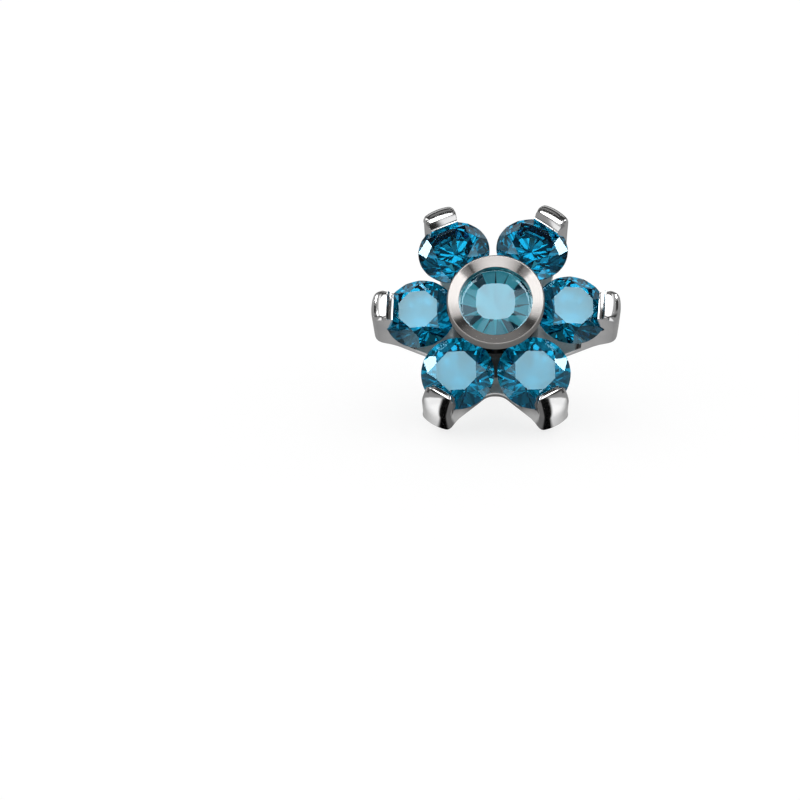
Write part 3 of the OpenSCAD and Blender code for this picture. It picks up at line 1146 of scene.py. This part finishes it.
def arm_mesh(outside, inside):
    """Joins the rows to one arm with its side walls. It is open only where its neighbours join the hub."""
    points = [(0, 0, hub_low), (0, 0, hub_top)]
    outer = []
    inner = []
    for rows, store in ((outside, outer), (inside, inner)):
        for row in rows:
            store.append(list(range(len(points), len(points) + columns)))
            points.extend(row)
    faces = []
    marked = {}

    def mark(start, end, rounding):
        marked[tuple(sorted((start, end)))] = rounding

    crossings = (
        (outer[-1], ROUND_END), (inner[-2], ROUND_FINE), (inner[-3], ROUND_FINE),
        (outer[dish_rows.index(hub_r)], ROUND_END),
    )
    for here in range(columns - 1):
        beside = here + 1
        faces.append((0, outer[0][beside], outer[0][here]))
        faces.append((1, inner[0][here], inner[0][beside]))
        faces.append((outer[-1][here], outer[-1][beside], inner[-1][beside], inner[-1][here]))
        for near, far in zip(outer, outer[1:]):
            faces.append((near[here], near[beside], far[beside], far[here]))
        for near, far in zip(inner, inner[1:]):
            faces.append((near[beside], near[here], far[here], far[beside]))
        for row, rounding in crossings:
            mark(row[here], row[beside], rounding)

    # each side wall is a strip along the dish, then one face for the arm's foot and one for the claw
    last_seat_row = kink_row + 2
    for column, way in ((0, 1), (columns - 1, -1)):
        out = [row[column] for row in outer]
        back = [row[column] for row in inner]
        sides = []
        for row in range(first_side_row, first_claw_row):
            sides.append([out[row], out[row + 1], back[row + 1], back[row]])
        sides.append(out[first_claw_row:kink_row + 1] + back[last_seat_row:first_claw_row - 1:-1])
        sides.append(out[kink_row:] + back[:last_seat_row - 1:-1])
        faces.extend(side[::way] for side in sides)
        for row in range(first_side_row, len(out) - 1):
            mark(out[row], out[row + 1], ROUND_DISH if row < kink_row else ROUND_CLAW)
        for row in range(first_side_row, len(back) - 1):
            mark(back[row], back[row + 1], ROUND_END if row < first_claw_row else ROUND_FINE)
        mark(out[-1], back[-1], ROUND_END)

    mesh = mesh_from("arm", points, faces)
    weights = mesh.attributes.new("bevel_weight_edge", "FLOAT", "EDGE")
    for edge in mesh.edges:
        weights.data[edge.index].value = marked.get(tuple(sorted(edge.vertices)), 0) / ROUND_MOST
    numbers = mesh.attributes.new("arm_point", "INT", "POINT")
    numbers.data.foreach_set("value", range(len(mesh.vertices)))
    mesh.polygons.foreach_set("use_smooth", [True] * len(mesh.polygons))
    return mesh


# %% Six arms in a ring, joined at the hub
flat_arm = arm_mesh(flat_outside, flat_inside)
domed_arm = arm_mesh(domed_outside, domed_inside)
rough_basket = grow("claw_basket_cast", flat_arm, [
    tree_step(ring_tree, Count=petals, Ring_Radius=0.0, Outward_Lean=0.0, Facet_Turn=0.0, Keep_Facing=0.0,
              Merge_Distance=0.0005),
])
print("rough basket:", len(rough_basket.vertices), "points")

# %% [markdown]
# Claws are bent over the stones with a hand tool, so none stands quite like its neighbour. Every point of
# the basket still knows which point of the arm it was, which tells how far to dome it, and its place
# tells how far to twist it: nothing at the dish, all of it at the tab. A sculpted change would look as
# good but couldn't be set by number.

# %% The hand's part: each claw is domed and twisted a little in its own way
HAND_WORK = (
    # twist in degrees, share of the dome
    (-5, 0), (-5, 0), (-6, 0), (-1, 0), (-3, 1), (1.5, 1),
)
TWIST_FROM = -0.6
TWIST_FULL = 0.3


def arm_at(place):
    """Number of the arm at a place of the basket."""
    return round(atan2(place.y, place.x) / (2 * sector)) % petals


twist_middle = Vector((claw_r - claw_t, 0, 0))
to_domed = [domed.co - flat.co for flat, domed in zip(flat_arm.vertices, domed_arm.vertices)]
arm_points = rough_basket.attributes["arm_point"].data
for spot, number in zip(rough_basket.vertices, arm_points):
    if hypot(spot.co.x, spot.co.y) < arm_corner_r:
        continue
    arm = arm_at(spot.co)
    twist, dome = HAND_WORK[arm]
    to_arm = Matrix.Rotation(2 * sector * arm, 3, "Z")
    place = to_arm.inverted() @ spot.co + to_domed[number.value] * dome
    share = min(1, max(0, (place.z - TWIST_FROM) / (TWIST_FULL - TWIST_FROM)))
    turn = Matrix.Rotation(radians(twist) * share * share, 3, "Z")
    spot.co = to_arm @ (twist_middle + turn @ (place - twist_middle))

# %% A domed tab's tip is rounder than a flat one's
HUB_POINTS = 2
TIP_WEIGHT = 0.5
tip_start = HUB_POINTS + (len(flat_outside) - 1) * columns
tip_points = range(tip_start, tip_start + columns)

tip_corners = []
for spot, number in zip(rough_basket.vertices, arm_points):
    if HAND_WORK[arm_at(spot.co)][1] and number.value in (tip_points[0], tip_points[-1]):
        tip_corners.append(spot.co.copy())
edge_weights = rough_basket.attributes["bevel_weight_edge"].data
for edge in rough_basket.edges:
    start = rough_basket.vertices[edge.vertices[0]].co
    at_tip = sum(arm_points[number].value in tip_points for number in edge.vertices)
    if HAND_WORK[arm_at(start)][1] and at_tip and edge_weights[edge.index].value < 1:
        edge_weights[edge.index].value = TIP_WEIGHT * (at_tip - 1)
print("tip corners to wear down:", len(tip_corners))

# %% [markdown]
# The Bevel modifier leaves a small ridge where three rounded edges meet at a domed tip. On the real claws
# polishing has taken it off, so a few strokes of smoothing do the same there, and nowhere else.

# %% Rounding the marked edges, and wearing down the corners of the domed tips
WORN_REACH = 0.15
WORN_STROKES = 8


def add_rounding(maker):
    bevel = maker.modifiers.new("Rounding", "BEVEL")
    bevel.limit_method = "WEIGHT"
    bevel.width = ROUND_MOST
    bevel.segments = 4
    bevel.use_clamp_overlap = False
    bevel.loop_slide = True


def add_even_shading(maker):
    shading = maker.modifiers.new("Even shading", "WEIGHTED_NORMAL")
    shading.mode = "FACE_AREA_WITH_ANGLE"
    shading.weight = 50


def at_worn_corner(place):
    return min((place - corner).length for corner in tip_corners) < WORN_REACH


rounded_basket = grow("claw_basket_cast", rough_basket, [add_rounding])
worn = bmesh.new()
worn.from_mesh(rounded_basket)
worn_spots = [spot for spot in worn.verts if at_worn_corner(spot.co)]
every_way = dict(use_axis_x=True, use_axis_y=True, use_axis_z=True)
for _ in range(WORN_STROKES):
    bmesh.ops.smooth_vert(worn, verts=worn_spots, factor=0.5, **every_way)
worn.to_mesh(rounded_basket)
worn.free()

basket_mesh = grow("claw_basket_cast", rounded_basket, [
    tree_step(finish_tree, Tone_Seed=1, Material=polished_steel),
    add_even_shading,
])
print("claw basket:", len(basket_mesh.polygons), "faces,", round(volume_of(basket_mesh), 2), "cubic mm")
basket_mesh.transform(flower_place)
basket = new_object("claw_basket_cast", basket_mesh)
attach(basket, "root")
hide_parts("claw_basket")

# %% [markdown]
# The floor is a plain pale sheet. It is wide, so that its edge stays out of sight, and it is lit almost
# to white, so that only the soft shadow under the stud tells where it lies. In polished metal a white
# floor would drown everything, and a photographer puts black flags in front of a jewel for that. Here the
# floor's own glow does it: the camera sees it nearly white, a stone sees it dim, and metal sees a bright
# field in front with a dark flag in its middle.

# %% The floor's shape
FLOOR_R = 0.9
FLOOR_SIDES = 96
bearings = [2 * pi * side / FLOOR_SIDES for side in range(FLOOR_SIDES)]
floor_points = [(0, 0, 0), *[(FLOOR_R * cos(bearing), FLOOR_R * sin(bearing), 0) for bearing in bearings]]
floor_faces = [(0, side + 1, (side + 1) % FLOOR_SIDES + 1) for side in range(FLOOR_SIDES)]
floor = new_object("floor", mesh_from("floor", floor_points, floor_faces))

# %% The floor's glow
GLOW_SEEN = 0.78
GLOW_IN_STONE = 0.25
GLOW_UNDER = 0.45
GLOW_BESIDE = 0.33
GLOW_MIDDLE = 0.3
GLOW_IN_FRONT = 0.85
GLOW_BETWEEN = 0.16
FLAG_START = (1.15, 1.35)
FLAG_SIDE = (1.62, 0.43)
FLAG_INSIDE = (1.25, -0.15)
FLAG_OPENS = 2.1
FIELD_START = (1.0, 3.0)
FIELD_SIDE = (5.5, 0.6)
UNDER_TO_BESIDE = (2.7, 3.6)
MIDDLE_TO_UNDER = (0.3, 0.8)
EDGE_SOFTNESS = 0.08
EDGE_SOFTENS = 0.06


def make_pale_floor():
    """Its masks are measured in millimetres to the side of the flower and in front of it."""
    material, tree, shader = new_material("pale_floor")
    source = add_node(tree, "ShaderNodeTexCoord")
    parts = add_node(tree, "ShaderNodeSeparateXYZ", Vector=source.outputs["Object"]).outputs
    side = maths(tree, "ABSOLUTE", maths(tree, "DIVIDE", parts["X"], MM))
    front = maths(tree, "DIVIDE", parts["Y"], -MM)
    ahead = maths(tree, "MAXIMUM", minus(tree, front, FLAG_OPENS), 0)
    softness = plus(tree, times(tree, ahead, EDGE_SOFTENS), EDGE_SOFTNESS)

    def within(width, spread):
        """One inside this distance from the middle line, nothing outside. Ahead, the edge spreads out."""
        gap = minus(tree, side, plus(tree, times(tree, ahead, spread), width))
        return smooth_step(tree, maths(tree, "DIVIDE", gap, softness), -1, 1, 1, 0)

    flag_begun = smooth_step(tree, front, *FLAG_START, 0, 1)
    flag = times(tree, within(*FLAG_SIDE), flag_begun)
    between = times(tree, within(*FLAG_INSIDE), flag_begun)
    lit_front = times(tree, smooth_step(tree, front, *FIELD_START, 0, 1), within(*FIELD_SIDE))
    in_metal = smooth_step(tree, side, *UNDER_TO_BESIDE, GLOW_UNDER, GLOW_BESIDE)
    in_metal = times(tree, in_metal, smooth_step(tree, side, *MIDDLE_TO_UNDER, GLOW_MIDDLE, 1))
    in_metal = plus(tree, in_metal, times(tree, lit_front, GLOW_IN_FRONT))
    in_metal = times(tree, in_metal, minus(tree, 1.0, flag))
    in_metal = plus(tree, in_metal, times(tree, between, GLOW_BETWEEN))

    ray = add_node(tree, "ShaderNodeLightPath").outputs
    seen = minus(tree, 1.0, maths(tree, "MAXIMUM", ray["Is Glossy Ray"], ray["Is Transmission Ray"]))
    glow = plus(tree, times(tree, ray["Is Glossy Ray"], in_metal), times(tree, seen, GLOW_SEEN))
    glow = plus(tree, glow, times(tree, ray["Is Transmission Ray"], GLOW_IN_STONE))

    place = placed_group(tree, flower_millimetres)["Place"]
    grain = add_node(tree, "ShaderNodeTexNoise", Vector=place, Scale=0.2)
    colour = tint(tree, grain, (0.26, 0.26, 0.26), (0.28, 0.28, 0.28))
    feed(
        tree, shader, Base_Color=colour_mix(tree, 1, colour, seen, "MULTIPLY"), Emission_Color=(1, 1, 1, 1),
        Emission_Strength=glow, Roughness=1, Specular_IOR_Level=0,
    )
    return material


floor.data.materials.append(make_pale_floor())

# %% [markdown]
# Metal and cut stones only show what surrounds them, so the light is the most careful part of a jewel's
# picture. A studio hangs white cards and black flags round it. Here the world itself is that studio: one
# shader group is a card, and each card says where it hangs as seen from the flower, how wide and tall it
# is and how bright. Real lamps at some distance could do the same, but they would need to be aimed by
# eye, and these are aimed by the mirror's law.

# %% A card in the sky as a shader group
AHEAD = 0.001


def make_card_group():
    tree, given, result = new_tree(
        "ShaderNodeTree", "Card in the sky",
        [("Direction", "Vector"), ("Middle", "Vector"), ("Across", "Vector"), ("Upward", "Vector"),
         ("Half Width", "Float"), ("Half Height", "Float"), ("Softness", "Float"), ("Brightness", "Float")],
        [("Light", "Float")],
    )

    def along(label):
        dot = add_node(tree, "ShaderNodeVectorMath", operation="DOT_PRODUCT")
        plug(tree, dot.inputs[0], given["Direction"])
        plug(tree, dot.inputs[1], given[label])
        return dot.outputs["Value"]

    forward = along("Middle")
    depth = maths(tree, "MAXIMUM", forward, AHEAD)

    def inside(label, half):
        place = maths(tree, "ABSOLUTE", maths(tree, "DIVIDE", along(label), depth))
        near = minus(tree, given[half], given["Softness"])
        beyond = plus(tree, given[half], given["Softness"])
        return smooth_step(tree, place, near, beyond, 1, 0)

    shape = times(tree, inside("Across", "Half Width"), inside("Upward", "Half Height"))
    in_front = times(tree, shape, maths(tree, "GREATER_THAN", forward, AHEAD))
    feed(tree, result, Light=times(tree, in_front, given["Brightness"]))
    return tree


card_group = make_card_group()

# %% Where the cards hang
CARDS = (
    # name, right of the face axis, up from it, half width, half height (degrees), softness, brightness
    ("table card", 0, 17.5, 25.5, 13.5, 0.04, 8.5),
    ("front card", 0, -16, 22, 7, 0.03, 1.45),
    ("left card", -34.5, 24, 6.5, 20, 0.06, 1.3),
    ("right card", 34.5, 24, 6.5, 20, 0.06, 1.3),
    ("top card", 0, 64, 23, 11, 0.05, 0.24),
    ("left strip", -62, 82, 19, 70, 0.12, 0.5),
    ("right strip", 62, 82, 19, 70, 0.12, 0.5),
    ("left flag", -69, 82, 8, 15, 0.04, -0.5),
    ("right flag", 69, 82, 8, 15, 0.04, -0.5),
    ("back card", 0, 108, 30, 10, 0.08, 0.8),
    ("low left card", -44, -38, 26, 10, 0.06, 0.35),
    ("low right card", 44, -38, 26, 10, 0.06, 0.35),
    ("left glint", -56.5, 85, 4.5, 6, 0.02, 13.0),
    ("right glint", 56.5, 84, 4.5, 6, 0.02, 13.0),
    ("left pale glint", -58, 16, 6, 7, 0.03, 4.0),
)


def hung(right, up):
    """The direction, sideways and upward axes of a card, in the world, from its angles at the flower."""
    sideways = radians(right)
    raised = radians(up)
    middle = Vector((sin(sideways), cos(sideways) * sin(raised), cos(sideways) * cos(raised)))
    upward = Vector((0, cos(raised), -sin(raised)))
    across = upward.cross(middle)
    return [flower_turn @ axis for axis in (middle, across, upward)]


# %% [markdown]
# A stone gathers light from everywhere and shows each card many times over, so inside the stones the
# brightest card is capped and the darkness between the cards gets a little fill. The floor is lit evenly,
# and the camera sees white.

# %% The world made of cards
SKY = 0.06
STONE_MOST = 3.4
STONE_FILL = 0.08
FLOOR_LIGHT = 1.06
BACKGROUND = 1.0


def make_world():
    world = bpy.data.worlds.new("card_studio")
    world.use_nodes = True
    world.cycles.sampling_method = "NONE"
    tree = world.node_tree
    tree.nodes.clear()
    direction = add_node(tree, "ShaderNodeTexCoord").outputs["Generated"]
    light = SKY
    for name, right, up, half_wide, half_tall, softness, brightness in CARDS:
        middle, across, upward = hung(right, up)
        card = add_node(
            tree, "ShaderNodeGroup", node_tree=card_group, label=name, Direction=direction,
            Middle=middle, Across=across, Upward=upward, Softness=softness, Brightness=brightness,
            Half_Width=tan(radians(half_wide)), Half_Height=tan(radians(half_tall)),
        )
        light = plus(tree, light, card)
    ray = add_node(tree, "ShaderNodeLightPath").outputs
    in_stone = plus(tree, maths(tree, "MINIMUM", light, STONE_MOST), STONE_FILL)
    light = smooth_step(tree, ray["Is Transmission Ray"], 0, 1, light, in_stone)

    lit = add_node(tree, "ShaderNodeBackground", Strength=light)
    for mask, strength in ((ray["Is Diffuse Ray"], FLOOR_LIGHT), (ray["Is Camera Ray"], BACKGROUND)):
        even = add_node(tree, "ShaderNodeBackground", Strength=strength)
        mix = add_node(tree, "ShaderNodeMixShader")
        for socket, value in zip(mix.inputs, (mask, lit, even)):
            plug(tree, socket, value)
        lit = mix
    add_node(tree, "ShaderNodeOutputWorld", Surface=lit)
    return world


scene = bpy.context.scene
scene.world = make_world()
print("cards:", ", ".join(card[0] for card in CARDS))

# %% [markdown]
# The camera stands where the picture was taken from: 23 degrees below the flower's axis, towards the two
# lower claws, at 50 millimetres with a long lens. With the flower lying down, that is a low view over the
# floor.

# %% The camera
VIEW_TILT = radians(23.13)
VIEW_SIDE = radians(0.17)
VIEW_DISTANCE = 50.0
AIM_RIGHT = -0.0527
AIM_UP = -0.0484
AIM_ROLL = radians(0.08)
FOCAL_PIXELS = 1809
IMAGE_PIXELS = 800
SENSOR = 36

stand = Vector((sin(VIEW_TILT) * sin(VIEW_SIDE), -sin(VIEW_TILT) * cos(VIEW_SIDE), cos(VIEW_TILT)))
forward = -stand
right = forward.cross(Vector((0, 1, 0))).normalized()
above = right.cross(forward)
forward = (forward + AIM_RIGHT * right + AIM_UP * above).normalized()
right = forward.cross(above).normalized()
above = right.cross(forward)
rolled_right = cos(AIM_ROLL) * right + sin(AIM_ROLL) * above
rolled_above = cos(AIM_ROLL) * above - sin(AIM_ROLL) * right
camera_turn = flower_turn @ Matrix((rolled_right, rolled_above, -forward)).transposed()

camera_data = bpy.data.cameras.new("camera")
camera_data.sensor_width = SENSOR
camera_data.lens = SENSOR * FOCAL_PIXELS / IMAGE_PIXELS
camera_data.clip_start = 0.001
camera_data.clip_end = 5
camera = new_object("camera", camera_data)
camera.matrix_world = Matrix.Translation(flower_place @ (stand * VIEW_DISTANCE)) @ camera_turn.to_4x4()
scene.camera = camera
print("camera", round(degrees(asin((flower_turn @ stand).z)), 1), "degrees above the floor")

# %% [markdown]
# Light in a cut stone turns many times before it leaves, so the light paths are long. The plain view
# transform keeps whites white.

# %% Light paths and colours
scene.view_settings.view_transform = "Standard"
scene.cycles.max_bounces = 24
scene.cycles.transmission_bounces = 20
scene.cycles.glossy_bounces = 10
scene.cycles.transparent_max_bounces = 8
scene.cycles.sample_clamp_indirect = 6
scene.cycles.use_denoising = True
